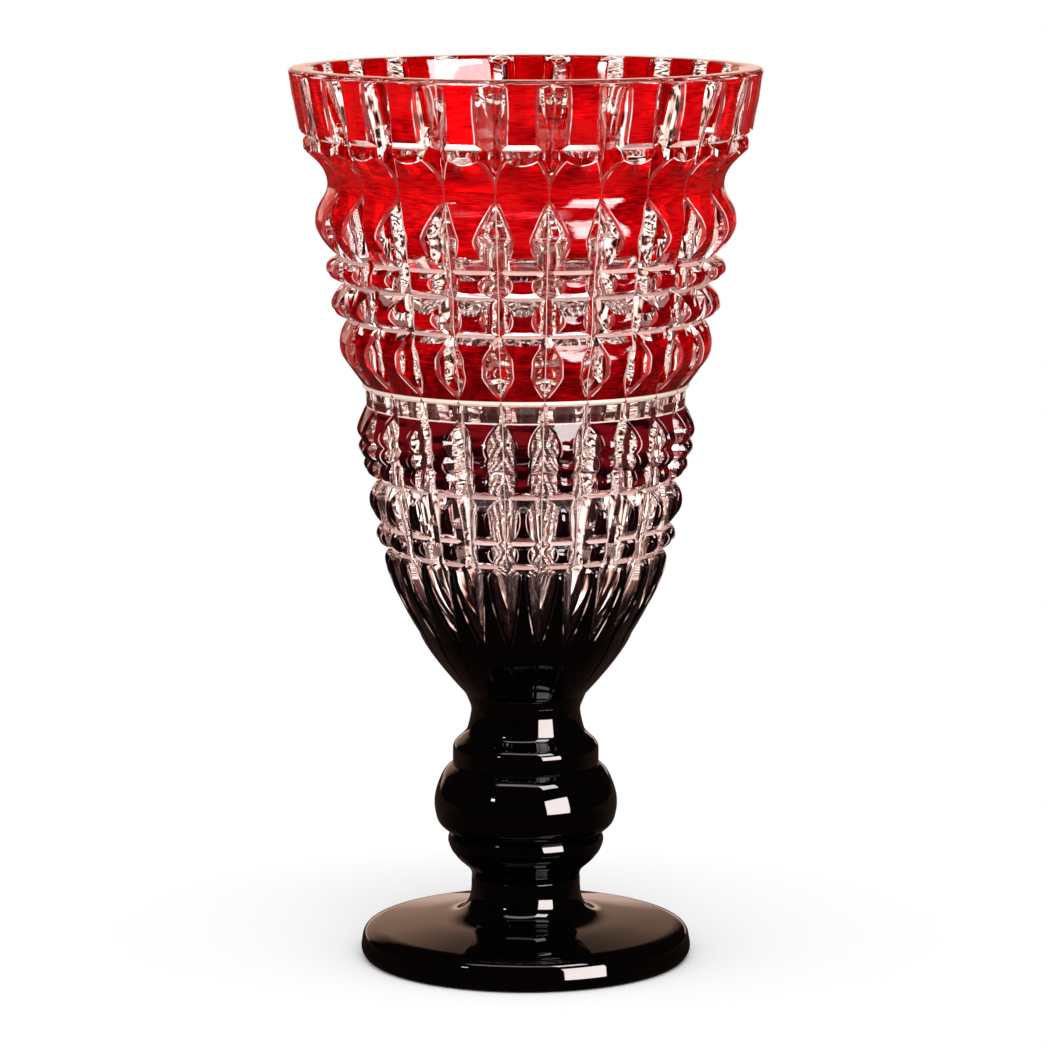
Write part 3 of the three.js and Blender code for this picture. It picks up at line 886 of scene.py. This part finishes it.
def window(nodes, direction, azimuth, elevation, wide, high, soft):
    """1 in a rectangle of the sky that is so wide and high, as tangents of the half-angles, and 0 outside it."""
    ahead = towards(azimuth, elevation)
    right = towards(azimuth + 90, 0)
    up = right.cross(ahead)
    depth = nodes.dot(direction, ahead)
    inside = nodes.math("GREATER_THAN", depth, 0.0)
    for side, half in ((right, wide), (up, high)):
        across_it = nodes.math("ABSOLUTE", nodes.math("DIVIDE", nodes.dot(direction, side), depth))
        edge = nodes.math("DIVIDE", nodes.math("SUBTRACT", half, across_it), soft, clamp=True)
        inside = nodes.math("MULTIPLY", inside, edge)
    return inside


def glossy_room(nodes, direction):
    room = ROOM
    for *place_and_size, shade, soft in WINDOWS:
        room = nodes.mix(window(nodes, direction, *place_and_size, soft), room, shade)
    return room


def screens(nodes, direction):
    gaps = nodes.noise(direction, scale=4.2, stretch=(1, 1, 0.6), detail=1)
    cream = nodes.ramp(gaps, *zip(SCREEN_STOPS, CREAM_SCREENS))
    pink = nodes.ramp(gaps, *zip(SCREEN_STOPS, PINK_SCREENS))
    return nodes.mix(nodes.ramp(nodes.noise(direction, scale=3), *KIND_CHANGES), cream, pink)


def studio():
    """The room, as each kind of ray needs it: white for the camera, a white room for diffuse light, a dark room with
    a softbox for gloss, and pale screens with dark gaps between them for what shows through the glass."""
    world = bpy.data.worlds.new("studio")
    bpy.context.scene.world = world
    world.use_nodes = True
    nodes = Nodes(world.node_tree)
    direction = nodes.add("ShaderNodeTexCoord").outputs["Generated"]
    path = nodes.add("ShaderNodeLightPath").outputs
    front = nodes.span(nodes.dot(direction, ROOM_FRONT), -1, 1)
    shown = nodes.mix(path["Is Camera Ray"], nodes.mix(front, DIM, BRIGHT), WHITE)
    shown = nodes.mix(path["Is Glossy Ray"], shown, glossy_room(nodes, direction))
    shown = nodes.mix(path["Is Transmission Ray"], shown, screens(nodes, direction))
    background = nodes.add("ShaderNodeBackground")
    nodes.link(shown, background.inputs["Color"])
    nodes.show(background.outputs[0], "ShaderNodeOutputWorld")


def lamp(name, aim, azimuth, elevation, distance, wide, high, power, gloss=False):
    """A lamp in front of a point. It lights what is not clear, or else only shows in gloss."""
    data = bpy.data.lights.new(name, "AREA")
    data.shape = "RECTANGLE"
    data.size = wide
    data.size_y = high
    data.energy = power
    made = bpy.data.objects.new(name, data)
    made.location = Vector(aim) + towards(azimuth, elevation) * distance
    made.rotation_euler = towards(azimuth, elevation).to_track_quat("Z", "Y").to_euler()
    made.visible_camera = False
    made.visible_diffuse = not gloss
    made.visible_glossy = gloss
    made.visible_transmission = False
    bpy.context.scene.collection.objects.link(made)


# The floor, in metres
FLOOR_REACH = 4.0
FLOOR_DROP = 0.0003                 # how far it lies under the foot
SHADOW_FADES = 0.06, 0.17           # distances from the middle between which its shadow runs out
PAPER = colour(0.97, 0.97, 0.97)
PAPER_GLOW = colour(0.8, 0.8, 0.8)  # the light that it gives diffuse rays beyond that

# The table that gloss sees in its place, from in front of the vase to behind it, and the cloth that glass sees
TABLE_DEPTH = 0.0, 0.12
TABLE_TINTS = colour(0.02, 0.012, 0.009), colour(0.07, 0.04, 0.03)
CLOTH = [(0.42, colour(0.01, 0.004, 0.003)), (0.46, colour(0.37, 0.14, 0.09)), (0.5, colour(1, 0.64, 0.57)),
         (0.56, colour(1.35, 1.08, 1)), (0.62, colour(2.6, 2.35, 2.25))]


def floor_surface():
    """White paper that keeps the vase's shadow and runs out into the white background. Gloss and glass see it as the
    warm table that the vase stands on."""
    surface, nodes = material("floor")
    at = place(nodes)
    path = nodes.add("ShaderNodeLightPath").outputs
    reach = nodes.add("ShaderNodeVectorMath", operation="LENGTH")
    nodes.link(at, reach.inputs[0])
    away = nodes.span(reach.outputs["Value"], *SHADOW_FADES)
    paper = nodes.add("ShaderNodeBsdfDiffuse")
    paper.inputs["Color"].default_value = PAPER
    white = nodes.glow(nodes.mix(path["Is Camera Ray"], PAPER_GLOW, WHITE))
    wood = nodes.mix(nodes.span(nodes.dot(at, (0, 1, 0)), *TABLE_DEPTH), *TABLE_TINTS)
    cloth = nodes.ramp(nodes.noise(at, scale=12, detail=2), *CLOTH)
    table = nodes.glow(nodes.mix(path["Is Transmission Ray"], wood, cloth))
    indirect = nodes.math("ADD", path["Is Glossy Ray"], path["Is Transmission Ray"], clamp=True)
    nodes.show(nodes.either(indirect, nodes.either(away, paper.outputs[0], white), table))
    return surface


def floor():
    mesh = bpy.data.meshes.new("floor")
    near, far = -FLOOR_REACH, FLOOR_REACH
    mesh.from_pydata([(near, near, 0), (far, near, 0), (far, far, 0), (near, far, 0)], [], [(0, 1, 2, 3)])
    mesh.materials.append(floor_surface())
    made = bpy.data.objects.new("floor", mesh)
    made.location.z = -FLOOR_DROP
    bpy.context.scene.collection.objects.link(made)


bowl()
stem()
camera()
studio()
lamp("key", aim=(0, 0, 0.16), azimuth=6, elevation=40, distance=1.8, wide=1.4, high=1.4, power=16)
lamp("pane", aim=(0.025, -0.065, 0.257), azimuth=42, elevation=34, distance=0.4, wide=0.2, high=0.14, power=1.2,
     gloss=True)
floor()

scene = bpy.context.scene
scene.view_settings.view_transform = "Standard"

# Light goes through many walls of glass
scene.cycles.max_bounces = 28
scene.cycles.transmission_bounces = 28
scene.cycles.glossy_bounces = 16
scene.cycles.transparent_max_bounces = 48
